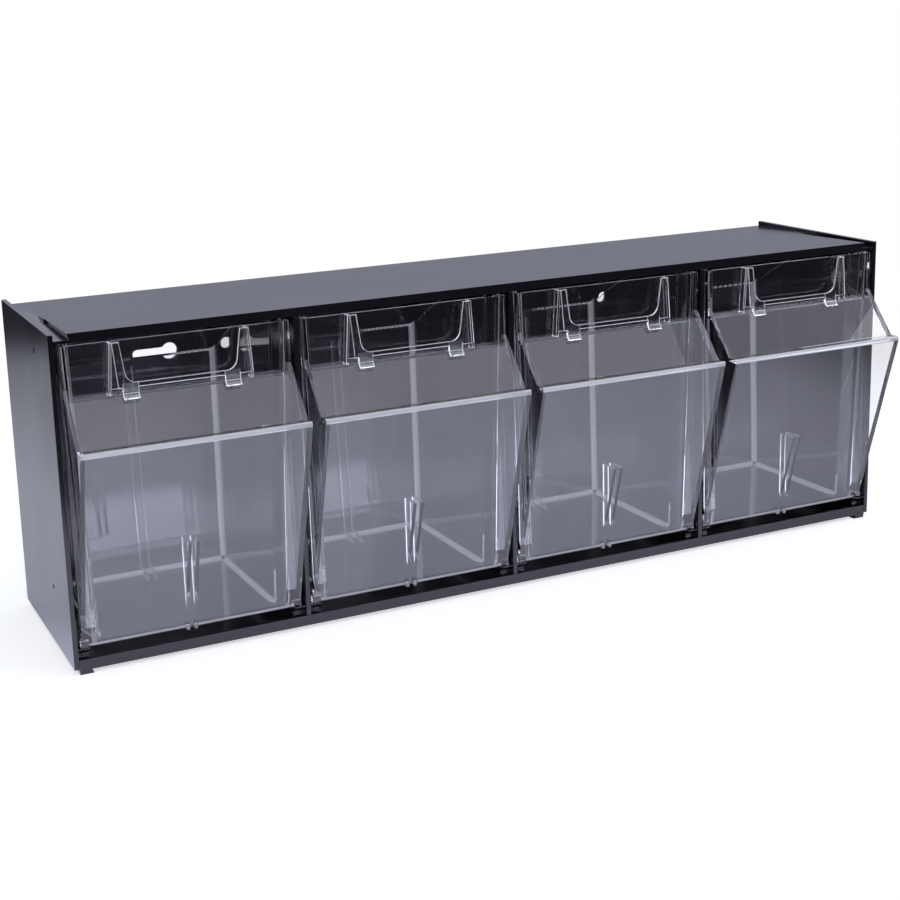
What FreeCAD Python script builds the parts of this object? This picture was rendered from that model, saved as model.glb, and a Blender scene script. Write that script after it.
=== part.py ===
"""Counter and wall storage unit: a black cabinet with four clear bins that tilt out of its front.

Millimetres, Z up. X runs along the front, Y goes back into the cabinet. The origin is the middle of the
box that the whole unit fills, on the surface that it stands on.
"""
import FreeCAD, Part
import os
import re

import Sketcher

from FreeCAD import Rotation, Vector

BIN_COUNT = 4

# Driving sizes. Heights are above the lower edge of the end panels, and depths are behind the
# cabinet's front face, unless the comment says otherwise.
SIZES = {
    # cabinet shell
    "cabinet_width": 600.0,
    "cabinet_depth": 134.25,
    "end_height": 204.8,
    "end_wall": 3.0,
    "divider_wall": 3.0,
    "back_wall": 2.75,
    "top_wall": 2.5,
    "bottom_wall": 2.5,
    # the top slopes down to the back by this much
    "top_fall": 3.5,
    # the bottom panel hangs this far below the end panels
    "bottom_drop": 0.9,
    "rail_thickness": 3.0,
    "lower_rail_top": 6.0,
    "upper_rail_height": 5.6,
    # stacking sockets in the top, and the dovetail rails below that fit into them
    "socket_width": 8.0,
    "socket_undercut": 1.3,
    "socket_depth": 3.8,
    "socket_length": 61.0,
    "socket_ramp": 16.0,
    "socket_floor_wall": 1.9,
    "socket_side_wall": 1.4,
    "foot_height": 3.5,
    "foot_clearance": 0.3,
    "foot_shortfall": 3.0,
    "rear_foot_length": 14.0,
    # hanging holes in the back: the keyholes stand outside the screw holes, and the heights are measured
    # down from the top of the end panels
    "keyhole_outset": 42.0,
    "keyhole_drop": 46.0,
    "keyhole_head_radius": 5.65,
    "keyhole_slot_width": 6.0,
    "keyhole_slot_reach": 25.5,
    "screw_hole_spacing": 300.0,
    "screw_hole_drop": 45.3,
    "screw_hole_radius": 3.9,
    "divider_notch_height": 26.0,
    "divider_notch_depth": 8.5,
    # joining holes in the end panels
    "end_hole_radius": 1.6,
    "end_hole_back": 42.0,
    "end_hole_drop": 16.5,
    "end_hole_lower": 39.6,
    # pivot of a bin: its feet turn in cradles of the bottom panel
    "pivot_back": 4.4,
    "pivot_height": 14.2,
    "pivot_radius": 3.0,
    "pivot_foot_length": 4.6,
    "pivot_clearance": 0.3,
    "cradle_lip": 1.5,
    "cradle_wall": 1.2,
    "cradle_stop_gap": 0.4,
    "cradle_root_radius": 3.0,
    "cradle_root_drop": 0.6,
    "rest_bar_back": 101.0,
    "rest_bar_thickness": 5.0,
    "rest_gap": 0.3,
    # bin shell
    "bin_side_gap": 2.825,
    "bin_top_gap": 1.8,
    "bin_wall": 2.4,
    "cheek_wall": 3.0,
    "bin_floor_wall": 2.2,
    "bin_underside": 11.0,
    "strip_height": 31.0,
    "hood_rise": 4.8,
    "hood_drop": 30.0,
    "hood_angle": 50.0,
    "ledge_depth": 7.827,
    "ledge_wall": 3.0,
    "nose_radius": 1.4,
    "panel_foot_back": 4.0,
    "panel_foot_radius": 4.2,
    # plan of the tub behind the front panel: how far its sides stand in from the bin's, at the underside
    "collar_inset": 7.3,
    "collar_back": 8.5,
    "tub_inset": 11.3,
    "collar_ramp": 7.0,
    "plan_draft": 0.94,
    "tub_rear_gap": 18.5,
    "tub_corner": 4.5,
    "side_draft": 1.76,
    "rear_lean": 4.67,
    # the side walls' upper edge sweeps under the top rail, and the hook behind it stops there
    "sweep_clearance": 0.6,
    "hook_clearance": 1.0,
    "hook_length": 7.0,
    "hook_ramp": 5.0,
    # slots for a loose divider, between pairs of ribs on the front panel and on the rear wall
    "rib_wall": 2.3,
    "rib_slot": 2.9,
    "rib_shift": -1.2,
    "rib_height": 72.6,
    "rib_back": 2.5,
    "rear_rib_wall": 1.5,
    "rear_rib_slot": 4.4,
    "rear_rib_depth": 2.6,
    "rear_rib_short": 4.0,
    "floor_rib_length": 17.0,
    "floor_rib_height": 5.0,
    "stub_radius": 1.3,
    "stub_height": 3.4,
    # mark of the moulding's gate, under the floor
    "gate_radius": 1.4,
    "gate_height": 0.4,
    "gate_back": 54.4,
    "gate_shift": -2.4,
    # label frame: half widths at the top, and how much wider or narrower it is at the bottom
    "frame_depth": 6.0,
    "frame_plate": 1.5,
    "frame_band": 0.7,
    "frame_wall": 1.6,
    "frame_half_top": 42.5,
    "frame_flare": 2.0,
    "window_border": 5.6,
    "window_taper": 3.5,
    "window_rise": 6.4,
    "window_radius": 7.0,
    "sill_height": 2.8,
    "band_border": 4.1,
    "band_taper": 2.4,
    "tongue_width": 9.5,
    "tongue_inset": 6.9,
    "tongue_drop": 2.9,
    "tongue_wall": 1.5,
    # length by which a cut runs out of the material
    "overrun": 5.0,
}

# Places and sizes that follow from the driving ones.
FORMULAS = {
    "inner_width": "cabinet_width - 2 * end_wall",
    "bay_width": f"(inner_width - {BIN_COUNT - 1} * divider_wall) / {BIN_COUNT}",
    "bay_pitch": "bay_width + divider_wall",
    "back_face": "cabinet_depth - back_wall",
    "bottom_top": "bottom_wall - bottom_drop",
    "ground": "foot_height",
    "front": "(beak_reach - cabinet_depth) / 2",
    "slope": "top_fall / cabinet_depth",
    "ceiling": "end_height - top_wall",
    "upper_rail_low": "end_height - upper_rail_height",
    "socket_floor": "end_height - socket_depth",
    "keyhole_spacing": "screw_hole_spacing + 2 * keyhole_outset",
    "keyhole_height": "end_height - keyhole_drop",
    "screw_hole_height": "end_height - screw_hole_drop",
    "end_hole_upper": "end_height - end_hole_drop",
    "socket_end": "socket_length + socket_ramp",
    "well_width": "socket_width + socket_undercut + socket_side_wall",
    "well_low": "socket_floor - socket_floor_wall",
    # bin profile
    "bin_width": "bay_width - 2 * bin_side_gap",
    "bin_height": "upper_rail_low - bin_top_gap",
    "shelf_height": "bin_height - strip_height",
    "hood_height": "shelf_height + hood_rise",
    "ledge_height": "hood_height - hood_drop",
    "beak_reach": "hood_foot + ledge_depth",
    "collar_half_width": "bin_width / 2 - collar_inset",
    "tub_half_width": "bin_width / 2 - tub_inset",
    "tub_start": "collar_back + collar_ramp",
    "tub_rear": "back_face - tub_rear_gap",
    "hood_foot": "(hood_height - ledge_height) / tan(hood_angle)",
    "hood_top": "(hood_height - shelf_height) / tan(hood_angle)",
    "ledge_low": "ledge_height - ledge_wall",
    "panel_slope": "(beak_reach + panel_foot_back) / (ledge_low - bin_underside)",
    "panel_inset": "bin_wall * sqrt(1 + panel_slope * panel_slope)",
    "hood_inset": "bin_wall / cos(hood_angle)",
    "floor_top": "bin_underside + bin_floor_wall",
    "shelf_low": "shelf_height - bin_wall",
    "tub_height": "bin_height - bin_underside",
    # upper edge of the side walls, as radii about the pivot
    "edge_radius": "upper_rail_low - sweep_clearance - pivot_height",
    "hook_radius": "ceiling - hook_clearance - pivot_height",
    "edge_start": "pivot_back + sqrt(edge_radius * edge_radius - (bin_height - pivot_height)^2)",
    "rear_slope": "tan(rear_lean)",
    "rear_inset": "bin_wall / cos(rear_lean)",
    # the rear wall's outer face, run down to the pivot's height and measured from the pivot
    "rear_reach": "tub_rear - pivot_back + rear_slope * (pivot_height - bin_underside)",
    "hook_angle": "acos(rear_reach * cos(rear_lean) / hook_radius) - rear_lean * 1 deg",
    "rear_wall_height": "pivot_height + hook_radius * sin(hook_angle)",
    "hook_front_angle": "hook_angle + hook_length / hook_radius * 180 deg / pi",
    "edge_end_angle": "hook_front_angle + hook_ramp / hook_radius * 180 deg / pi",
    "tub_taper": "tan(plan_draft)",
    "tub_rear_half_width": "tub_half_width - tub_taper * (tub_rear - tub_start)",
    # rounded foot of the front panel
    "foot_turn": "90 deg - atan(panel_slope)",
    "foot_tangent": "panel_foot_radius * tan(foot_turn / 2)",
    # label frame
    "frame_half_bottom": "frame_half_top + frame_flare",
    "window_half_top": "frame_half_top - window_border",
    "window_half_bottom": "window_half_top - window_taper",
    "window_sill": "shelf_height + window_rise",
    "band_half_top": "window_half_top + band_border",
    "band_half_bottom": "band_half_top - band_taper",
    "tongue_half_gap": "window_half_bottom - tongue_inset",
    "tongue_tip": "shelf_height - tongue_drop",
    # how far the inner wall's bends lie before the outer ones, round the collar
    "bend_shift": "bin_wall * tan(atan((tub_inset - collar_inset) / collar_ramp) / 2)",
}

# an edge counts as upright when it rises by this share of its length
UPRIGHT_SHARE = 0.9

PLANES = {
    "plan": ("XY_Plane", Rotation()),
    "front": ("XZ_Plane", Rotation(Vector(1, 0, 0), 90)),
    "side": ("YZ_Plane", Rotation(Vector(1, 1, 1), 120)),
}


# Formulas and sketches

def expand(text):
    """The formula with each name written as its cell of the sheet, or as the formula behind it."""
    def word(match):
        name = match.group(0)
        if name in FORMULAS:
            return "(" + expand(FORMULAS[name]) + ")"
        return "sizes." + name if name in SIZES else name
    return re.sub(r"[a-z][a-z_]*", word, text)


def value(text):
    return float(sheet.evalExpression(expand(text)))


def make_sheet(document):
    cells = document.addObject("Spreadsheet::Sheet", "sizes")
    for row, (name, number) in enumerate(SIZES.items(), start=1):
        cells.set(f"A{row}", name)
        cells.set(f"B{row}", str(number))
        cells.setAlias(f"B{row}", name)
    document.recompute()
    return cells


def bind(item, **formulas):
    for name, text in formulas.items():
        item.setExpression(name.replace("__", "."), expand(text))


def make_sketch(body, name, plane, offset="0"):
    """Sketch on a plane of the body, or free where body is None, moved out along the plane's normal."""
    role, turn = PLANES[plane]
    if body is None:
        sketch = doc.addObject("Sketcher::SketchObject", name)
        sketch.Placement.Rotation = turn
        normal = turn.multVec(Vector(0, 0, 1))
        for axis, share in zip("xyz", normal):
            if abs(share) > 0.5:
                sketch.setExpression(f"Placement.Base.{axis}", expand(f"{round(share)} * ({offset})"))
        return sketch
    sketch = body.newObject("Sketcher::SketchObject", name)
    base = [item for item in body.Origin.OriginFeatures if item.Role == role][0]
    sketch.AttachmentSupport = (base, [""])
    sketch.MapMode = "FlatFace"
    sketch.setExpression("AttachmentOffset.Base.z", expand(offset))
    return sketch


def hold(sketch, kind, geometry, place, text):
    """Dimension from the sketch's origin to a point, bound to its formula."""
    number = sketch.addConstraint(Sketcher.Constraint(kind, -1, 1, geometry, place, value(text)))
    sketch.setExpression(f"Constraints[{number}]", expand(text))


def arc_between(start, end, radius):
    """Shorter arc from start to end. A positive radius bulges to the right of the way from start to end."""
    chord = end - start
    reach = (radius * radius - chord.Length * chord.Length / 4) ** 0.5
    side = Vector(-chord.y, chord.x, 0).normalize()
    centre = start + chord / 2 + side * (reach if radius > 0 else -reach)
    middle = centre + (start + chord / 2 - centre).normalize() * abs(radius)
    return Part.Arc(start, middle, end)


def outline(sketch, corners):
    """Closed outline. A corner is (across, up), or (across, up, radius) where an arc leads on from it."""
    places = [Vector(value(corner[0]), value(corner[1]), 0) for corner in corners]
    first = sketch.GeometryCount
    starts = []
    for index, corner in enumerate(corners):
        start = places[index]
        end = places[(index + 1) % len(places)]
        if len(corner) == 2:
            sketch.addGeometry(Part.LineSegment(start, end), False)
            starts.append((1, 2))
        else:
            sketch.addGeometry(arc_between(start, end, value(corner[2])), False)
            # an arc that runs clockwise is kept with its ends swapped
            starts.append((1, 2) if value(corner[2]) > 0 else (2, 1))
    for index, corner in enumerate(corners):
        following = (index + 1) % len(corners)
        sketch.addConstraint(Sketcher.Constraint(
            "Coincident", first + index, starts[index][1], first + following, starts[following][0]))
        hold(sketch, "DistanceX", first + index, starts[index][0], corner[0])
        hold(sketch, "DistanceY", first + index, starts[index][0], corner[1])
        if len(corner) == 3:
            radius = corner[2].lstrip("-")
            number = sketch.addConstraint(Sketcher.Constraint("Radius", first + index, value(radius)))
            sketch.setExpression(f"Constraints[{number}]", expand(radius))
    return sketch


def circle(sketch, across, up, radius):
    centre = Vector(value(across), value(up), 0)
    index = sketch.addGeometry(Part.Circle(centre, Vector(0, 0, 1), value(radius)), False)
    hold(sketch, "DistanceX", index, 3, across)
    hold(sketch, "DistanceY", index, 3, up)
    number = sketch.addConstraint(Sketcher.Constraint("Radius", index, value(radius)))
    sketch.setExpression(f"Constraints[{number}]", expand(radius))


# Features

def make_body(name):
    body = doc.addObject("PartDesign::Body", name)
    body.Label = name
    bind(body, Placement__Base__y="front", Placement__Base__z="ground")
    return body


def pad(body, sketch, length, backwards=False, symmetric=False):
    feature = body.newObject("PartDesign::Pad", sketch.Name + "_pad")
    feature.Profile = sketch
    feature.SideType = "Symmetric" if symmetric else "One side"
    feature.Reversed = backwards
    feature.Length = value(length)
    bind(feature, Length=length)
    return feature


def pocket(body, sketch, length, backwards=False, symmetric=False):
    """Cut against the sketch's normal, or along it if backwards. A cut that removes nothing is an error."""
    doc.recompute()
    before = body.Shape.Volume
    feature = body.newObject("PartDesign::Pocket", sketch.Name + "_pocket")
    feature.Profile = sketch
    feature.SideType = "Symmetric" if symmetric else "One side"
    feature.Reversed = backwards
    feature.Length = value(length)
    bind(feature, Length=length)
    doc.recompute()
    if not body.Shape.Volume < before:
        raise RuntimeError(f"{feature.Name} cuts nothing")
    return feature


# Cabinet ends, back and dividers

def make_end(name, side):
    """End panel. Its upper edge stands above the top as a lip, and two small holes go through it."""
    body = make_body(name)
    offset = "-cabinet_width / 2" if side < 0 else "cabinet_width / 2 - end_wall"
    plate = make_sketch(body, name + "_plate", "side", offset)
    outline(plate, [
        ("0", "0"),
        ("cabinet_depth", "0"),
        ("cabinet_depth", "end_height"),
        ("0", "end_height"),
    ])
    pad(body, plate, "end_wall")
    holes = make_sketch(body, name + "_holes", "side", offset)
    circle(holes, "end_hole_back", "end_hole_upper", "end_hole_radius")
    circle(holes, "end_hole_back", "end_hole_lower", "end_hole_radius")
    pocket(body, holes, "end_wall", backwards=True)
    return body


def keyhole(sketch, centre):
    """Round head with a narrower slot that runs off to the left and ends in a half circle."""
    half = "keyhole_slot_width / 2"
    mouth = f"{centre} - sqrt(keyhole_head_radius ^ 2 - ({half}) ^ 2)"
    slot_end = f"{centre} - keyhole_slot_reach + {half}"
    low = f"keyhole_height - {half}"
    high = f"keyhole_height + {half}"
    far = f"{centre} + keyhole_head_radius"
    outline(sketch, [
        (slot_end, low),
        (mouth, low, "keyhole_head_radius"),
        (centre, "keyhole_height - keyhole_head_radius", "keyhole_head_radius"),
        (far, "keyhole_height", "keyhole_head_radius"),
        (centre, "keyhole_height + keyhole_head_radius", "keyhole_head_radius"),
        (mouth, high),
        (slot_end, high, half),
        (f"{centre} - keyhole_slot_reach", "keyhole_height", half),
    ])


def make_back():
    """Back panel between the ends, with keyholes for hanging and round holes for screws."""
    body = make_body("cabinet_back")
    plate = make_sketch(body, "back_plate", "side", "-inner_width / 2")
    outline(plate, [
        ("back_face", "bottom_top"),
        ("cabinet_depth", "bottom_top"),
        ("cabinet_depth", "ceiling - top_fall"),
        ("back_face", "ceiling - slope * back_face"),
    ])
    pad(body, plate, "inner_width")
    openings = make_sketch(body, "back_openings", "front", "-back_face")
    keyhole(openings, "(-keyhole_spacing / 2)")
    keyhole(openings, "(keyhole_spacing / 2)")
    circle(openings, "-screw_hole_spacing / 2", "screw_hole_height", "screw_hole_radius")
    circle(openings, "screw_hole_spacing / 2", "screw_hole_height", "screw_hole_radius")
    pocket(body, openings, "back_wall + overrun")
    return body


def make_divider(number):
    """Wall between two bays, notched at its rear edge beside the screw holes."""
    body = make_body(f"divider_{number}")
    place = f"-inner_width / 2 + {number} * bay_pitch - divider_wall"
    plate = make_sketch(body, f"divider_{number}_plate", "side", place)
    notch_low = "screw_hole_height - divider_notch_height / 2"
    notch_high = "screw_hole_height + divider_notch_height / 2"
    outline(plate, [
        ("0", "lower_rail_top"),
        ("rail_thickness", "lower_rail_top"),
        ("rail_thickness", "bottom_top"),
        ("back_face", "bottom_top"),
        ("back_face", notch_low),
        ("back_face - divider_notch_depth", notch_low),
        ("back_face - divider_notch_depth", notch_high),
        ("back_face", notch_high),
        ("back_face", "ceiling - slope * back_face"),
        ("rail_thickness", "ceiling - slope * rail_thickness"),
        ("rail_thickness", "upper_rail_low"),
        ("0", "upper_rail_low"),
    ])
    pad(body, plate, "divider_wall")
    return body


# Cabinet top

def make_top():
    """Top panel with its front rail, which falls to the back, and a stacking socket in each front corner."""
    body = make_body("cabinet_top")
    plate = make_sketch(body, "top_plate", "side", "-inner_width / 2")
    outline(plate, [
        ("0", "upper_rail_low"),
        ("rail_thickness", "upper_rail_low"),
        ("rail_thickness", "ceiling - slope * rail_thickness"),
        ("cabinet_depth", "ceiling - top_fall"),
        ("cabinet_depth", "end_height - top_fall"),
        ("0", "end_height"),
    ])
    pad(body, plate, "inner_width")
    for name, side in (("left", -1), ("right", 1)):
        edge = "inner_width / 2"
        well = make_sketch(body, f"{name}_well", "side",
                           f"-{edge}" if side < 0 else f"{edge} - well_width")
        middle = "ceiling + top_wall / 2"
        outline(well, [
            ("0", "well_low"),
            ("socket_end", "well_low"),
            ("socket_end", f"{middle} - slope * socket_end"),
            ("0", middle),
        ])
        pad(body, well, "well_width")
        cut = make_sketch(body, f"{name}_socket", "front")
        outline(cut, [
            (f"{side} * ({edge})", "socket_floor"),
            (f"{side} * ({edge})", "end_height + overrun"),
            (f"{side} * ({edge} - socket_width)", "end_height + overrun"),
            (f"{side} * ({edge} - socket_width)", "end_height"),
            (f"{side} * ({edge} - socket_width - socket_undercut)", "socket_floor"),
        ])
        pocket(body, cut, "socket_length")
        ramp = make_sketch(body, f"{name}_ramp", "side",
                           f"-{edge}" if side < 0 else f"{edge} - socket_width")
        outline(ramp, [
            ("socket_length", "socket_floor"),
            ("socket_end", "end_height - slope * socket_end"),
            ("socket_length", "end_height - slope * socket_length"),
        ])
        pocket(body, ramp, "socket_width", backwards=True)
    return body


# Cabinet bottom

def make_foot_rails(body):
    """Dovetail rails that the unit stands on at the front, and short ones of the same section behind."""
    for name, side in (("left", -1), ("right", 1)):
        outer = f"{side} * (inner_width / 2 - foot_clearance)"
        neck = f"{side} * (inner_width / 2 - socket_width + foot_clearance)"
        sole = f"{side} * (inner_width / 2 - socket_width - socket_undercut + foot_clearance)"
        section = [
            (outer, "-bottom_drop + bottom_wall / 2"),
            (neck, "-bottom_drop + bottom_wall / 2"),
            (neck, "-bottom_drop"),
            (sole, "-foot_height"),
            (outer, "-foot_height"),
        ]
        front_rail = make_sketch(body, f"{name}_front_rail", "front")
        outline(front_rail, section)
        pad(body, front_rail, "socket_length - foot_shortfall", backwards=True)
        rear_rail = make_sketch(body, f"{name}_rear_rail", "front", "rear_foot_length - cabinet_depth")
        outline(rear_rail, section)
        pad(body, rear_rail, "rear_foot_length", backwards=True)


def make_cradle(body, name, place, guide_place):
    """Half pipe in which a bin's foot turns, on a web behind the rail, and a guide beside its cheek."""
    block = make_sketch(body, name, "side", place)
    bore = "(pivot_radius + pivot_clearance)"
    shell = "(pivot_radius + pivot_clearance + cradle_wall)"
    top = "pivot_height - cradle_lip"
    half = f"sqrt({bore} ^ 2 - cradle_lip ^ 2)"
    back = f"pivot_back + {half} + cradle_wall"
    low = "bottom_top - bottom_wall / 2"
    front = [
        (f"pivot_back - sqrt({shell} ^ 2 - cradle_lip ^ 2)", top, shell),
        ("pivot_back", f"pivot_height - {shell}", "-cradle_root_radius"),
        ("rail_thickness", "lower_rail_top - cradle_root_drop"),
        ("rail_thickness", low),
    ]
    outline(block, front + [
        (back, low),
        (back, top),
        (f"pivot_back + {half}", top, f"-{bore}"),
        (f"pivot_back - {half}", top),
    ])
    pad(body, block, "pivot_foot_length")
    guide = make_sketch(body, name + "_guide", "side", guide_place)
    outline(guide, front + [(back, low), (back, top)])
    pad(body, guide, "bin_side_gap - cradle_stop_gap")


def make_bottom():
    """Bottom panel with its front rail, the feet, and for each bay two cradles and a rest bar."""
    body = make_body("cabinet_bottom")
    plate = make_sketch(body, "bottom_plate", "side", "-inner_width / 2")
    outline(plate, [
        ("0", "-bottom_drop"),
        ("cabinet_depth", "-bottom_drop"),
        ("cabinet_depth", "bottom_top"),
        ("rail_thickness", "bottom_top"),
        ("rail_thickness", "lower_rail_top"),
        ("0", "lower_rail_top"),
    ])
    pad(body, plate, "inner_width")
    make_foot_rails(body)
    for number in range(1, BIN_COUNT + 1):
        centre = bay_centre(number)
        make_cradle(body, f"cradle_{number}_left", f"{centre} - bin_width / 2", f"{centre} - bay_width / 2")
        make_cradle(body, f"cradle_{number}_right", f"{centre} + bin_width / 2 - pivot_foot_length",
                    f"{centre} + bin_width / 2 + cradle_stop_gap")
        bar = make_sketch(body, f"rest_bar_{number}", "side", f"{centre} - tub_rear_half_width")
        outline(bar, [
            ("rest_bar_back", "bottom_top - bottom_wall / 2"),
            ("rest_bar_back + rest_bar_thickness", "bottom_top - bottom_wall / 2"),
            ("rest_bar_back + rest_bar_thickness", "bin_underside - rest_gap"),
            ("rest_bar_back", "bin_underside - rest_gap"),
        ])
        pad(body, bar, "2 * tub_rear_half_width")
    return body


# Bins

def bay_centre(number):
    return f"(-inner_width / 2 + bay_width / 2 + {number - 1} * bay_pitch)"


def symmetric_outline(sketch, corners):
    """Outline from its right half, given from front to back, and that half's mirror image."""
    outline(sketch, corners + [(f"-({across})", up) for across, up in reversed(corners)])
    return sketch


def extrude(sketch, length, symmetric=False):
    """Solid from a free sketch, along its normal."""
    solid = doc.addObject("Part::Extrusion", sketch.Name + "_solid")
    solid.Base = sketch
    solid.DirMode = "Normal"
    solid.Solid = True
    solid.Symmetric = symmetric
    bind(solid, LengthFwd=length)
    return solid


def combine(kind, name, first, second):
    result = doc.addObject(kind, name)
    result.Base = first
    result.Tool = second
    return result


def round_edges(name, base, radius, wanted):
    """Fillet of the edges of base whose middle and direction are wanted."""
    doc.recompute()
    chosen = []
    for index, edge in enumerate(base.Shape.Edges, start=1):
        ends = [vertex.Point for vertex in edge.Vertexes]
        if len(ends) == 2 and wanted((ends[0] + ends[1]) / 2, ends[1] - ends[0]):
            chosen.append((index, value(radius), value(radius)))
    result = doc.addObject("Part::Fillet", name)
    result.Base = base
    result.Edges = chosen
    return result


def on_tub_corner(floor):
    """Test for the edges where a tub's sides and rear wall meet each other and its floor."""
    behind = value("(tub_start + tub_rear) / 2")
    rear = value("tub_rear - 2 * bin_wall")
    aside = value("tub_rear_half_width / 2")

    def wanted(middle, way):
        at_floor = abs(middle.z - value(floor)) < value("bin_wall / 2")
        upright = abs(way.z) > UPRIGHT_SHARE * way.Length
        along_side = at_floor and middle.y > value("tub_start") and abs(way.y) > behind / 2
        along_rear = at_floor and middle.y > rear and abs(way.x) > aside
        return along_side or along_rear or (upright and middle.y > rear and abs(middle.x) > aside)
    return wanted


def outer_side(sketch):
    """Side view of a bin: strip, hood, ledge, sloping front panel, floor, rear wall, hook and upper edge."""
    def about_pivot(radius, angle):
        return f"pivot_back + {radius} * cos({angle})", f"pivot_height + {radius} * sin({angle})"
    outline(sketch, [
        ("0", "bin_height"),
        ("0", "hood_height"),
        ("-hood_foot", "ledge_height"),
        ("-beak_reach + nose_radius", "ledge_height", "nose_radius"),
        ("-beak_reach", "ledge_height - nose_radius"),
        ("-beak_reach", "ledge_low"),
        ("panel_foot_back - foot_tangent * sin(atan(panel_slope))",
         "bin_underside + foot_tangent * cos(atan(panel_slope))", "panel_foot_radius"),
        ("panel_foot_back + foot_tangent", "bin_underside"),
        ("tub_rear", "bin_underside"),
        (*about_pivot("hook_radius", "hook_angle"), "hook_radius"),
        about_pivot("hook_radius", "hook_front_angle"),
        (*about_pivot("edge_radius", "edge_end_angle"), "edge_radius"),
        ("edge_start", "bin_height"),
    ])
    return sketch


def inner_side(sketch):
    """Side view of the space in a bin, one wall inside the outer profile and open at the top."""
    above = "bin_height + overrun"
    outline(sketch, [
        ("bin_wall", above),
        ("bin_wall", "shelf_low"),
        ("-(hood_height - hood_inset - shelf_low) / tan(hood_angle)", "shelf_low"),
        ("-(hood_height - hood_inset - ledge_low) / tan(hood_angle)", "ledge_low"),
        ("-beak_reach + panel_inset", "ledge_low"),
        ("panel_foot_back - panel_slope * bin_floor_wall + panel_inset", "floor_top"),
        ("tub_rear + rear_slope * bin_floor_wall - rear_inset", "floor_top"),
        ("tub_rear + rear_slope * (tub_height + overrun) - rear_inset", above),
    ])
    return sketch


def plan(name, inset, mouth, bend):
    """Plan of a bin just below its floor: full width before the mouth, and the narrower tub behind it."""
    spread = f"-tan(side_draft) * overrun - {inset}"
    return symmetric_outline(make_sketch(None, name, "plan", "bin_underside - overrun"), [
        ("bin_width", "-beak_reach - overrun"),
        ("bin_width", mouth),
        (f"collar_half_width + {spread}", mouth),
        (f"collar_half_width + {spread}", f"collar_back - {bend}"),
        (f"tub_half_width + {spread}", f"tub_start - {bend}"),
        (f"tub_half_width - tub_taper * (cabinet_depth + overrun - tub_start) + {spread}",
         "cabinet_depth + overrun"),
    ])


def plan_solid(name, inset, mouth, bend):
    """Plan of a bin carried upward with its sides leaning out: once to each side, joined."""
    leaning = doc.addObject("Part::MultiFuse", name)
    leaning.Shapes = []
    for side, label in ((-1, "left"), (1, "right")):
        solid = extrude(plan(f"{name}_{label}", inset, mouth, bend),
                        "(tub_height + 2 * overrun) / cos(side_draft)")
        solid.DirMode = "Custom"
        solid.Dir = Vector(side * value("tan(side_draft)"), 0, 1)
        solid.setExpression("Dir.x", expand(f"{side} * tan(side_draft)"))
        leaning.Shapes = leaning.Shapes + [solid]
    leaning.Refine = True
    return leaning


def make_shell(name):
    """Bin moulding: the outer form less the space inside it, each a side view cut to a plan."""
    inner_width = "2 * (bin_width / 2 - cheek_wall)"
    outside = combine(
        "Part::Common", name + "_outside",
        extrude(outer_side(make_sketch(None, name + "_outer_side", "side")), "bin_width", symmetric=True),
        plan_solid(name + "_outer_plan", "0", "2 * bin_wall", "0"))
    inside = combine(
        "Part::Common", name + "_inside",
        extrude(inner_side(make_sketch(None, name + "_inner_side", "side")), inner_width, symmetric=True),
        plan_solid(name + "_inner_plan", "bin_wall", "bin_wall", "bend_shift"))
    rounded = round_edges(name + "_rounded", outside, "tub_corner", on_tub_corner("bin_underside"))
    hollow = round_edges(name + "_hollow", inside, "tub_corner - bin_wall", on_tub_corner("floor_top"))
    shell = combine("Part::Cut", name + "_shell", rounded, hollow)
    # above the shelf the strip stands back between the cheeks
    recess = make_sketch(None, name + "_strip_recess", "side")
    outline(recess, [
        ("-beak_reach", "shelf_height"),
        ("0", "shelf_height"),
        ("0", "bin_height"),
        ("-beak_reach", "bin_height"),
    ])
    return combine("Part::Cut", name + "_front", shell,
                   extrude(recess, inner_width, symmetric=True))


def make_ribs(name):
    """Pairs of ribs that hold a loose divider: on the front panel, and on the rear wall and floor."""
    ribs = []
    panel_middle = "panel_foot_back - panel_slope * (rib_height - bin_underside) + panel_inset / 2"
    rib_low = "bin_underside + (panel_foot_back + panel_inset / 2 - rib_back) / panel_slope"
    floor_middle = "bin_underside + bin_floor_wall / 2"
    rear_middle = "tub_rear - rear_inset / 2"
    rear_inside = "tub_rear - rear_inset"
    rib_top = "rear_wall_height - rear_rib_short"
    for side, label in ((-1, "left"), (1, "right")):
        front_place = f"rib_shift + {side} * (rib_slot + rib_wall) / 2 - rib_wall / 2"
        front_rib = make_sketch(None, f"{name}_{label}_front_rib", "side", front_place)
        outline(front_rib, [
            ("rib_back", "rib_height"),
            (panel_middle, "rib_height"),
            ("rib_back", rib_low),
        ])
        ribs.append(extrude(front_rib, "rib_wall"))
        rear_place = f"{side} * (rear_rib_slot + rear_rib_wall) / 2 - rear_rib_wall / 2"
        rear_rib = make_sketch(None, f"{name}_{label}_rear_rib", "side", rear_place)
        outline(rear_rib, [
            (f"{rear_middle} + rear_slope * bin_floor_wall / 2", floor_middle),
            (f"{rear_middle} + rear_slope * ({rib_top} - bin_underside)", rib_top),
            (f"{rear_inside} + rear_slope * ({rib_top} - bin_underside) - rear_rib_depth", rib_top),
            (f"{rear_inside} + rear_slope * (bin_floor_wall + floor_rib_height) - rear_rib_depth",
             "floor_top + floor_rib_height"),
            (f"{rear_inside} - floor_rib_length", "floor_top"),
            (f"{rear_inside} - floor_rib_length", floor_middle),
        ])
        ribs.append(extrude(rear_rib, "rear_rib_wall"))
        stub = doc.addObject("Part::Cylinder", f"{name}_{label}_stub")
        bind(stub, Radius="stub_radius", Height="stub_height",
             Placement__Base__x=f"rib_shift + {side} * (rib_slot + rib_wall) / 2",
             Placement__Base__y="panel_foot_back - stub_radius / 2", Placement__Base__z="bin_underside")
        ribs.append(stub)
    return ribs


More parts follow.
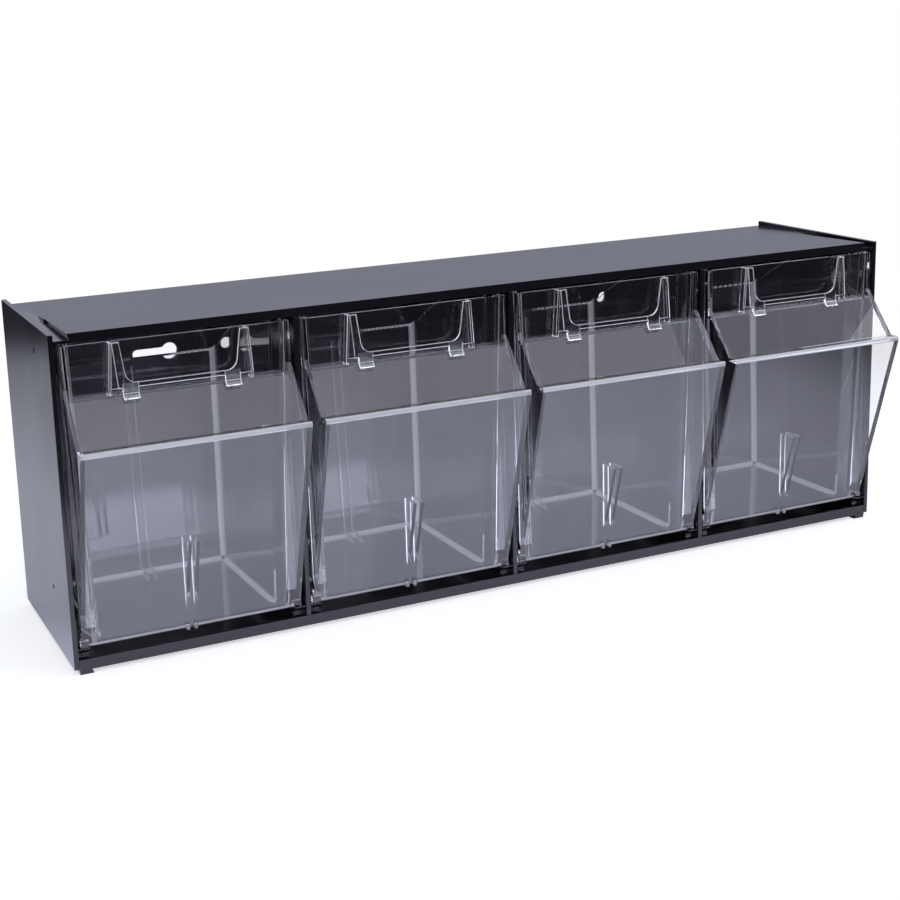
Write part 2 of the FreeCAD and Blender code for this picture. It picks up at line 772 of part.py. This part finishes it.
def make_pivot_feet(name):
    """Round feet at the lower front corners, on the axis that the bin tilts about."""
    feet = []
    for side, label in ((-1, "left"), (1, "right")):
        foot = doc.addObject("Part::Cylinder", f"{name}_{label}_foot")
        foot.Placement.Rotation = Rotation(Vector(0, 1, 0), 90)
        bind(foot, Radius="pivot_radius", Height="pivot_foot_length",
             Placement__Base__x="-bin_width / 2" if side < 0 else "bin_width / 2 - pivot_foot_length",
             Placement__Base__y="pivot_back", Placement__Base__z="pivot_height")
        feet.append(foot)
    return feet


def make_gate_mark(name):
    mark = doc.addObject("Part::Cylinder", name + "_gate_mark")
    bind(mark, Radius="gate_radius", Height="gate_height + bin_floor_wall / 2",
         Placement__Base__x="gate_shift", Placement__Base__y="gate_back",
         Placement__Base__z="bin_underside - gate_height")
    return mark


def make_bin(number):
    name = f"bin_{number}"
    moulding = doc.addObject("Part::MultiFuse", name)
    moulding.Label = name
    moulding.Shapes = [make_shell(name), make_gate_mark(name)] + make_ribs(name) + make_pivot_feet(name)
    moulding.Refine = True
    bind(moulding, Placement__Base__x=bay_centre(number), Placement__Base__y="front",
         Placement__Base__z="ground")
    return moulding


# Label frames

def make_label_frame(number):
    """U shaped holder for a label, seated on a bin's strip and shelf, with tongues down over the hood."""
    name = f"label_frame_{number}"
    body = make_body(name)
    bind(body, Placement__Base__x=bay_centre(number))
    lean = "atan((window_half_top - window_half_bottom) / (bin_height - window_sill))"
    tangent = f"window_radius * tan((90 deg - {lean}) / 2)"
    sill_low = "window_sill - sill_height"

    def letter_u(half_top, half_bottom):
        """Outline of a U from its outer half widths, round the window."""
        return [
            (f"-{half_top}", "bin_height"),
            (f"-{half_bottom}", sill_low),
            (half_bottom, sill_low),
            (half_top, "bin_height"),
            ("window_half_top", "bin_height"),
            (f"window_half_bottom + {tangent} * sin({lean})", f"window_sill + {tangent} * cos({lean})",
             "-window_radius"),
            (f"window_half_bottom - {tangent}", "window_sill"),
            (f"-(window_half_bottom - {tangent})", "window_sill", "-window_radius"),
            (f"-(window_half_bottom + {tangent} * sin({lean}))", f"window_sill + {tangent} * cos({lean})"),
            ("-window_half_top", "bin_height"),
        ]

    band = make_sketch(body, name + "_band", "front", "frame_depth")
    outline(band, letter_u("band_half_top", "band_half_bottom"))
    pad(body, band, "frame_plate", backwards=True)
    plate = make_sketch(body, name + "_plate", "front", "frame_depth - frame_band")
    outline(plate, letter_u("frame_half_top", "frame_half_bottom"))
    pad(body, plate, "frame_plate - frame_band", backwards=True)
    for side in (-1, 1):
        label = "left" if side < 0 else "right"
        wall = make_sketch(body, f"{name}_{label}_wall", "front", "frame_depth - frame_band")
        outline(wall, [
            (f"{side} * (frame_half_top - frame_wall)", "bin_height"),
            (f"{side} * frame_half_top", "bin_height"),
            (f"{side} * frame_half_bottom", "shelf_height"),
            (f"{side} * (frame_half_bottom - frame_wall)", "shelf_height"),
        ])
        pad(body, wall, "frame_depth - frame_band", backwards=True)
        tongue = make_sketch(body, f"{name}_{label}_tongue", "side",
                             "tongue_half_gap" if side > 0 else "-tongue_half_gap - tongue_width")
        tip_back = "-(hood_height - tongue_tip) / tan(hood_angle)"
        outline(tongue, [
            ("-frame_depth", "window_sill"),
            ("-frame_depth", "shelf_height"),
            (f"{tip_back} - tongue_wall", "tongue_tip"),
            (tip_back, "tongue_tip"),
            ("-hood_top", "shelf_height"),
            ("-frame_depth + frame_plate", "window_sill"),
        ])
        pad(body, tongue, "tongue_width")
    return body


# Build, check and write

doc = FreeCAD.newDocument("tilt_out_bins")
sheet = make_sheet(doc)
nodes = [make_end("cabinet_left_end", -1), make_end("cabinet_right_end", 1)]
nodes += [make_top(), make_bottom(), make_back()]
nodes += [make_divider(number) for number in range(1, BIN_COUNT)]
nodes += [make_bin(number) for number in range(1, BIN_COUNT + 1)]
nodes += [make_label_frame(number) for number in range(1, BIN_COUNT + 1)]
doc.recompute()

for item in doc.Objects:
    if "Invalid" in item.State or "Error" in item.State:
        raise RuntimeError(f"{item.Name} failed: {item.State}")
for node in nodes:
    if node.Shape.isNull() or not node.Shape.isValid() or len(node.Shape.Solids) != 1:
        raise RuntimeError(f"{node.Label} is not one sound solid")

os.makedirs("parts", exist_ok=True)
for node in nodes:
    node.Shape.exportStep(f"parts/{node.Label}.step")
    box = node.Shape.BoundBox
    print(f"{node.Label}: {node.Shape.Volume / 1000:.2f} cm3, x {box.XMin:.2f} to {box.XMax:.2f}, "
          f"y {box.YMin:.2f} to {box.YMax:.2f}, z {box.ZMin:.2f} to {box.ZMax:.2f}")
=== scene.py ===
"""Black counter cabinet with four clear tilting bins, dressed for the camera.

Metres, Z up, X along the front, Y back into the cabinet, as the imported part. The unit stands on z = 0.
"""

import bmesh
import bpy
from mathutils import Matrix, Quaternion, Vector


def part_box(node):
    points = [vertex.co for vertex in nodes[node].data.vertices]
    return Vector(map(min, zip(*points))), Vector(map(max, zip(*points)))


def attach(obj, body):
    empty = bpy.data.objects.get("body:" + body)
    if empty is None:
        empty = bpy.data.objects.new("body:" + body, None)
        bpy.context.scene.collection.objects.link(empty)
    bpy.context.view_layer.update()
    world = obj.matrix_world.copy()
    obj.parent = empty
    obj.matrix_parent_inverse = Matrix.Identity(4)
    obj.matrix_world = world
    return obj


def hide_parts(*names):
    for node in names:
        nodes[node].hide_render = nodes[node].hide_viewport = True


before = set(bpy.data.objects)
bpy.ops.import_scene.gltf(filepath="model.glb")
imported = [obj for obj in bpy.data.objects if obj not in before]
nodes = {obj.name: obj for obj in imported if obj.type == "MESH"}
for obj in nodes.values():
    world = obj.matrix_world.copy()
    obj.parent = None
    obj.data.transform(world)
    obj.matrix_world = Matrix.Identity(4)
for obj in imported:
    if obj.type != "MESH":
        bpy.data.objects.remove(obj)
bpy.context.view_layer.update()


# Camera
# A fixed lens at the photograph's height and turn: a little above the unit and to its left, with the
# film moved so that the cabinet fills the width.

camera_data = bpy.data.cameras.new("camera")
camera_data.sensor_width = 36.0
camera_data.lens = 63.535
camera_data.shift_x = 0.04815
camera_data.shift_y = -0.09598
camera_data.clip_start = 0.01
camera_data.clip_end = 50.0
camera = bpy.data.objects.new("camera", camera_data)
camera.location = (-0.482374, -0.94117, 0.388433)
camera.rotation_mode = "QUATERNION"
camera.rotation_quaternion = Quaternion((0.76149, 0.610985, -0.122975, -0.178064))
bpy.context.collection.objects.link(camera)
bpy.context.scene.camera = camera
bpy.context.scene.view_settings.view_transform = "Standard"
light_paths = bpy.context.scene.cycles
light_paths.max_bounces = 32
light_paths.glossy_bounces = 24
light_paths.transmission_bounces = 32


# Studio
# A white paper table that is bright round the unit and falls off to a dim room with a pale ceiling. The
# paper's sheen shows in mirror images and through glass, less to the right and to the back. The camera,
# and rays that run backward through glass, see room and paper white.

DAYLIGHT = (0.93, 0.94, 1.0, 1.0)
DAYLIGHT_STRENGTH = 0.42
CEILING = (0.92, 0.93, 1.12, 1.0)
WALLS = (0.33, 0.34, 0.42, 1.0)
WHITE = (1.0, 1.0, 1.0, 1.0)
PAPER = (0.8, 0.82, 0.89, 1.0)
PAPER_SHEEN = (0.79, 0.8, 1.05, 1.0)
FRONT_SHEEN = 0.8
FRONT_SHEEN_ENDS = (-0.12, 0.1)
RIGHT_SHARE = 0.1
RIGHT_ENDS = (0.1, 0.45)
BACK_SHEEN = 0.4
BACK_SHEEN_ENDS = (0.1, 0.9)
WHITE_PAPER_STARTS = (0.02, 0.06)
PAPER_GLOW = 0.6
PAPER_FAR = (0.075, 0.078, 0.1, 1.0)
PAPER_CENTRE_X = -0.1
PAPER_CENTRE_Y = 0.3
PAPER_BRIGHT_REACH = 0.62
PAPER_DIM_REACH = 0.8
FLOOR_REACH = 6.0
BACKDROP_STARTS = (-0.1, 0.1)
CEILING_STARTS = (0.1, 0.3)
LAMP_AIM = (0, 0, 0.1)
LAMP_COLOUR = (0.96, 0.97, 1.0)


def link_value(tree, value, socket):
    """Sets a socket to a number or colour, or links it where the value is another node's output."""
    if isinstance(value, bpy.types.NodeSocket):
        tree.links.new(value, socket)
    else:
        socket.default_value = value


def add_node(tree, kind, settings=None, **values):
    """Adds a node with its settings, and values or links for its inputs, by name with _ for spaces."""
    node = tree.nodes.new(kind)
    for name, setting in (settings or {}).items():
        setattr(node, name, setting)
    for name, value in values.items():
        link_value(tree, value, node.inputs[name.replace("_", " ")])
    return node


def calculate(tree, operation, first, second=0.0):
    """Output of a Math node."""
    node = add_node(tree, "ShaderNodeMath", {"operation": operation})
    link_value(tree, first, node.inputs[0])
    link_value(tree, second, node.inputs[1])
    return node.outputs[0]


def fade(tree, value, low, high, start=0.0, end=1.0):
    """Value carried smoothly from start, at low, to end, at high."""
    node = add_node(tree, "ShaderNodeMapRange", {"interpolation_type": "SMOOTHSTEP"},
                    Value=value, From_Min=low, From_Max=high, To_Min=start, To_Max=end)
    return node.outputs[0]


def blend_shaders(tree, factor, first, second):
    """First shader where the factor is 0, second where it is 1."""
    node = add_node(tree, "ShaderNodeMixShader")
    link_value(tree, factor, node.inputs[0])
    tree.links.new(first.outputs[0], node.inputs[1])
    tree.links.new(second.outputs[0], node.inputs[2])
    return node


def split_place(tree, kind):
    """X, Y and Z of the texture coordinates of a kind."""
    place = tree.nodes.new("ShaderNodeTexCoord").outputs[kind]
    return add_node(tree, "ShaderNodeSeparateXYZ", Vector=place).outputs


def white_rays(tree, behind):
    """1 for rays from the camera, and for rays that come through glass and run backward, else 0."""
    path = tree.nodes.new("ShaderNodeLightPath").outputs
    through = calculate(tree, "MULTIPLY", path["Is Transmission Ray"], behind)
    return calculate(tree, "MAXIMUM", path["Is Camera Ray"], through)


def seen_rays(tree):
    """1 for rays that come from the camera, a mirror surface or through glass, and 0 for light."""
    path = tree.nodes.new("ShaderNodeLightPath").outputs
    seen = calculate(tree, "MAXIMUM", path["Is Camera Ray"], path["Is Glossy Ray"])
    return calculate(tree, "MAXIMUM", seen, path["Is Transmission Ray"])


world = bpy.data.worlds.new("white_room")
bpy.context.scene.world = world
world.use_nodes = True
sky = world.node_tree
sky.nodes.clear()
way = split_place(sky, "Generated")
backward = fade(sky, way["Y"], *BACKDROP_STARTS)
overhead = fade(sky, way["Z"], *CEILING_STARTS)
room_colour = add_node(sky, "ShaderNodeMix", {"data_type": "RGBA"})
sky.links.new(overhead, room_colour.inputs["Factor"])
room_colour.inputs["A"].default_value = WALLS
room_colour.inputs["B"].default_value = CEILING
room_light = add_node(sky, "ShaderNodeBackground", Color=DAYLIGHT, Strength=DAYLIGHT_STRENGTH)
room_seen = add_node(sky, "ShaderNodeBackground", Strength=1.0)
sky.links.new(room_colour.outputs["Result"], room_seen.inputs["Color"])
room_white = add_node(sky, "ShaderNodeBackground", Color=WHITE, Strength=1.0)
room = blend_shaders(sky, seen_rays(sky), room_light, room_seen)
room = blend_shaders(sky, white_rays(sky, backward), room, room_white)
sky.links.new(room.outputs[0], add_node(sky, "ShaderNodeOutputWorld").inputs[0])


def soft_lamp(name, place, size, power):
    """Square area lamp at a place, turned to face the unit."""
    lamp_data = bpy.data.lights.new(name, "AREA")
    lamp_data.size = size
    lamp_data.energy = power
    lamp_data.color = LAMP_COLOUR
    lamp = bpy.data.objects.new(name, lamp_data)
    lamp.location = place
    lamp.rotation_euler = (Vector(LAMP_AIM) - Vector(place)).to_track_quat("-Z", "Y").to_euler()
    bpy.context.collection.objects.link(lamp)
    return lamp


# the pale room stands for the ceiling box in mirror images
ceiling_box = soft_lamp("ceiling_box", (0.2, -0.6, 1.9), 1.9, 10.5)
ceiling_box.visible_glossy = False
soft_lamp("left_box", (-1.6, -1.2, 0.9), 1.5, 6.0)
soft_lamp("right_box", (1.7, -1.1, 0.9), 1.5, 6.0)

floor_mesh = bpy.data.meshes.new("floor")
floor_corners = [(side * FLOOR_REACH, end * FLOOR_REACH, 0)
                 for side, end in ((-1, -1), (1, -1), (1, 1), (-1, 1))]
floor_mesh.from_pydata(floor_corners, [], [(0, 1, 2, 3)])
floor = bpy.data.objects.new("floor", floor_mesh)
bpy.context.collection.objects.link(floor)
floor_material = bpy.data.materials.new("white_floor")
floor_material.use_nodes = True
paper = floor_material.node_tree
paper.nodes.clear()
spot = split_place(paper, "Object")
across = calculate(paper, "SUBTRACT", spot["X"], PAPER_CENTRE_X)
forward = calculate(paper, "SUBTRACT", spot["Y"], PAPER_CENTRE_Y)
squares = calculate(paper, "ADD", calculate(paper, "MULTIPLY", across, across),
                    calculate(paper, "MULTIPLY", forward, forward))
distance = calculate(paper, "SQRT", squares)
dim = fade(paper, distance, PAPER_BRIGHT_REACH, PAPER_DIM_REACH)
white_seen = white_rays(paper, fade(paper, spot["Y"], *WHITE_PAPER_STARTS))
paper_face = add_node(paper, "ShaderNodeBsdfDiffuse", Color=PAPER)
paper_sheen = add_node(paper, "ShaderNodeEmission", Color=PAPER_SHEEN)
to_front = fade(paper, spot["Y"], *FRONT_SHEEN_ENDS, FRONT_SHEEN, 0.0)
to_right = fade(paper, spot["X"], *RIGHT_ENDS, 1.0, RIGHT_SHARE)
to_back = fade(paper, spot["Y"], *BACK_SHEEN_ENDS, BACK_SHEEN, 0.0)
sheen_strength = calculate(paper, "ADD", calculate(paper, "MULTIPLY", to_front, to_right), to_back)
sheen_seen = calculate(paper, "MULTIPLY", seen_rays(paper), sheen_strength)
paper.links.new(sheen_seen, paper_sheen.inputs["Strength"])
paper_glow = add_node(paper, "ShaderNodeEmission", Color=WHITE, Strength=PAPER_GLOW)
paper_extra = blend_shaders(paper, white_seen, paper_sheen, paper_glow)
paper_near = add_node(paper, "ShaderNodeAddShader")
paper.links.new(paper_face.outputs[0], paper_near.inputs[0])
paper.links.new(paper_extra.outputs[0], paper_near.inputs[1])
paper_dark = add_node(paper, "ShaderNodeBsdfDiffuse", Color=PAPER_FAR)
paper_white = add_node(paper, "ShaderNodeEmission", Color=WHITE, Strength=1.0)
paper_far = blend_shaders(paper, white_seen, paper_dark, paper_white)
paper_seen = blend_shaders(paper, dim, paper_near, paper_far)
paper.links.new(paper_seen.outputs[0], add_node(paper, "ShaderNodeOutputMaterial").inputs[0])
floor_mesh.materials.append(floor_material)


# Cabinet
# Panels of black polystyrene with a satin gloss and slightly rounded edges. The skin has a very fine
# ripple, and the top panel shows faint sink marks over the walls and over each bay's middle.

MM = 0.001
SAME_POINT = 0.002 * MM
BLACK = (0.005, 0.0052, 0.0078, 1.0)
BLACK_WORN = (0.007, 0.0072, 0.01, 1.0)
CABINET_EDGE = 0.3 * MM
SHARP_BEND = 0.33
GENTLE_BEND = 0.03
LEVEL_BEND = 0.0005
NARROW_FACE = 1.7 * MM
ALONG_SHARE = 0.7
LONG_BEND = 8.0 * MM
HOLE_FACET = 0.9 * MM
PANELS = ("cabinet_bottom", "cabinet_left_end", "cabinet_right_end", "cabinet_back",
          "divider_1", "divider_2", "divider_3")


def softened(node, name, bevel_width, materials, shift=(0, 0, 0), shortest=0.0):
    """Shifted copy of a CAD node, its doubled points merged and its sharp edges rounded by a bevel.

    One material covers all of it. Of three, the first is for the faces, the second for the narrow faces
    of long curved corners and the third for the bevels. Faces at a gentle bend are shaded smooth. Sharp
    edges up to the shortest length stay sharp.
    """
    mesh = nodes[node].data.copy()
    mesh.name = name
    shape = bmesh.new()
    shape.from_mesh(mesh)
    bmesh.ops.remove_doubles(shape, verts=shape.verts, dist=SAME_POINT)
    bmesh.ops.translate(shape, verts=shape.verts, vec=shift)
    weights = shape.edges.layers.float.new("bevel_weight_edge")
    for rim in shape.edges:
        if rim.calc_face_angle() > SHARP_BEND:
            rim[weights] = rim.calc_length() > shortest
            rim.smooth = rim.calc_length() > shortest
    level = [edge for edge in shape.edges if edge.calc_face_angle() < LEVEL_BEND]
    bmesh.ops.beautify_fill(shape, faces=shape.faces, edges=level, method="ANGLE")
    for face in shape.faces:
        face.smooth = False
    for bend in shape.edges:
        if GENTLE_BEND < bend.calc_face_angle() < SHARP_BEND:
            length = bend.calc_length()
            for face in bend.link_faces:
                face.smooth = True
                longest = max(edge.calc_length() for edge in face.edges)
                narrow = 2 * face.calc_area() < NARROW_FACE * longest
                if narrow and length > max(LONG_BEND, ALONG_SHARE * longest):
                    face.material_index = min(1, len(materials) - 1)
    mesh.materials.clear()
    for material in materials:
        mesh.materials.append(material)
    shape.to_mesh(mesh)
    shape.free()
    piece = bpy.data.objects.new(name, mesh)
    bpy.context.collection.objects.link(piece)
    rounding = piece.modifiers.new("rounded_edges", "BEVEL")
    rounding.width = bevel_width
    rounding.segments = 2
    rounding.limit_method = "WEIGHT"
    rounding.miter_outer = "MITER_ARC"
    rounding.face_strength_mode = "FSTR_ALL"
    rounding.material = len(materials) - 1
    flats = piece.modifiers.new("flat_faces", "WEIGHTED_NORMAL")
    flats.use_face_influence = True
    flats.keep_sharp = True
    return piece


def plastic(name):
    """Material with its Principled shader and the object's own coordinates."""
    material = bpy.data.materials.new(name)
    material.use_nodes = True
    tree = material.node_tree
    shader = tree.nodes["Principled BSDF"]
    place = tree.nodes.new("ShaderNodeTexCoord").outputs["Object"]
    return material, tree, shader, place


def sink_marks(tree, place):
    """1 over the dividers and over a short line at each bay's middle, near the back, else 0."""
    walls = [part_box(f"divider_{number}") for number in (1, 2)]
    pitch = walls[1][0][0] - walls[0][0][0]
    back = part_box("cabinet_back")[0][1]
    x, y, _ = add_node(tree, "ShaderNodeSeparateXYZ", Vector=place).outputs
    from_wall = calculate(tree, "PINGPONG", x, pitch / 2)
    over_wall = fade(tree, from_wall, 0.4 * MM, 3.5 * MM, 1.0, 0.0)
    from_middle = calculate(tree, "SUBTRACT", pitch / 2, from_wall)
    over_middle = fade(tree, from_middle, 0.3 * MM, 2.5 * MM, 1.0, 0.0)
    near_back = calculate(tree, "MULTIPLY", fade(tree, y, back - 48 * MM, back - 44 * MM),
                       fade(tree, y, back - 18 * MM, back - 12 * MM, 1.0, 0.0))
    return calculate(tree, "MAXIMUM", over_wall, calculate(tree, "MULTIPLY", over_middle, near_back))


def black_polystyrene(name, sunk):
    """Satin black with a fine ripple, broad soft waves and faint scuffs, and sink marks where sunk."""
    material, tree, shader, place = plastic(name)
    ripple = add_node(tree, "ShaderNodeTexNoise", Vector=place, Scale=420.0, Detail=4.0, Roughness=0.55)
    waves = add_node(tree, "ShaderNodeTexNoise", Vector=place, Scale=14.0, Detail=2.0)
    scuffs = add_node(tree, "ShaderNodeTexNoise", {"noise_type": "RIDGED_MULTIFRACTAL"},
                      Vector=place, Scale=38.0, Detail=6.0)
    rough = fade(tree, waves.outputs[0], 0.3, 0.7, 0.15, 0.21)
    tint = add_node(tree, "ShaderNodeMix", {"data_type": "RGBA"})
    tree.links.new(scuffs.outputs[0], tint.inputs["Factor"])
    tint.inputs["A"].default_value = BLACK
    tint.inputs["B"].default_value = BLACK_WORN
    surface = add_node(tree, "ShaderNodeBump", Strength=0.05, Distance=0.0002, Height=ripple.outputs[0])
    surface = add_node(tree, "ShaderNodeBump", Strength=0.06, Distance=0.002, Height=waves.outputs[0],
                       Normal=surface.outputs[0])
    if sunk:
        surface = add_node(tree, "ShaderNodeBump", {"invert": True}, Strength=0.25, Distance=0.0001,
                           Height=sink_marks(tree, place), Normal=surface.outputs[0])
    tree.links.new(tint.outputs["Result"], shader.inputs["Base Color"])
    tree.links.new(rough, shader.inputs["Roughness"])
    tree.links.new(surface.outputs[0], shader.inputs["Normal"])
    shader.inputs["IOR"].default_value = 1.55
    return material


def add_panel(node, material):
    """Panel of the cabinet, with the rims of its small holes left sharp."""
    panel = softened(node, node + "_panel", CABINET_EDGE, [material], shortest=HOLE_FACET)
    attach(panel, "cabinet")
    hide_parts(node)


panel_black = black_polystyrene("black_polystyrene", sunk=False)
for node in PANELS:
    add_panel(node, panel_black)
add_panel("cabinet_top", black_polystyrene("black_polystyrene_top", sunk=True))


# Bins
# One clear polystyrene moulding each, polished, with rounded edges. The narrow faces of long curved
# corners and the bevels take whiter, half diffuse copies of the plastic with a faint glow: a painted
# highlight.
# The plastic has a very slight waviness from the mould and a few fine rubs.

BIN_NUMBERS = (1, 2, 3, 4)
CLEAR = (0.982, 0.982, 0.992, 1.0)
# painted highlight: whiter colour and glow strengths for the bins' corner and edge copies of the plastic
HIGHLIGHT_WHITE = (0.9, 0.9, 0.98, 1.0)
CORNER_PAINTED_GLOW = 0.08
EDGE_PAINTED_GLOW = 0.5
BIN_EDGE = 0.45 * MM


def clear_polystyrene(name, colour, clearness, smooth, rubbed):
    """Clear plastic with a very slight waviness, and a roughness that rises in fine specks."""
    material, tree, shader, place = plastic(name)
    flow = add_node(tree, "ShaderNodeTexNoise", Vector=place, Scale=7.0, Detail=1.0)
    specks = add_node(tree, "ShaderNodeTexNoise", Vector=place, Scale=900.0, Detail=2.0)
    swell = add_node(tree, "ShaderNodeBump", Strength=0.03, Distance=0.001, Height=flow.outputs[0])
    shader.inputs["Base Color"].default_value = colour
    shader.inputs["Transmission Weight"].default_value = clearness
    shader.inputs["IOR"].default_value = 1.59
    tree.links.new(fade(tree, specks.outputs[0], 0.64, 0.8, smooth, rubbed), shader.inputs["Roughness"])
    tree.links.new(swell.outputs[0], shader.inputs["Normal"])
    return material


clear = [
    clear_polystyrene("clear_polystyrene", CLEAR, 1.0, 0.0, 0.06),
    # the next two are whiter, half diffuse copies with a painted glow, for corners and for edges
    clear_polystyrene("clear_polystyrene_corners_painted_glow", HIGHLIGHT_WHITE, 0.5, 0.08, 0.2),
    clear_polystyrene("clear_polystyrene_edges_painted_glow", HIGHLIGHT_WHITE, 0.5, 0.08, 0.2),
]
# painted highlight: corners and edges glow a little, for the light that clear walls carry along to them
for material, glow in zip(clear[1:], (CORNER_PAINTED_GLOW, EDGE_PAINTED_GLOW)):
    inputs = material.node_tree.nodes["Principled BSDF"].inputs
    inputs["Emission Color"].default_value = HIGHLIGHT_WHITE
    inputs["Emission Strength"].default_value = glow

for number in BIN_NUMBERS:
    moulding = softened(f"bin_{number}", f"bin_{number}_moulding", BIN_EDGE, clear)
    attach(moulding, f"tilting_bin_{number}")
    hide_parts(f"bin_{number}")


# Label frames
# A thin clear U clipped over each bin's top strip, of the same plastic as the bins. It stands a hair
# off the strip, as a clipped piece does.

FRAME_EDGE = 0.35 * MM
FRAME_SHIFT = (0, -0.04 * MM, 0.04 * MM)

for number in BIN_NUMBERS:
    holder = softened(f"label_frame_{number}", f"label_frame_{number}_holder", FRAME_EDGE, clear,
                      FRAME_SHIFT)
    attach(holder, f"tilting_bin_{number}")
    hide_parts(f"label_frame_{number}")
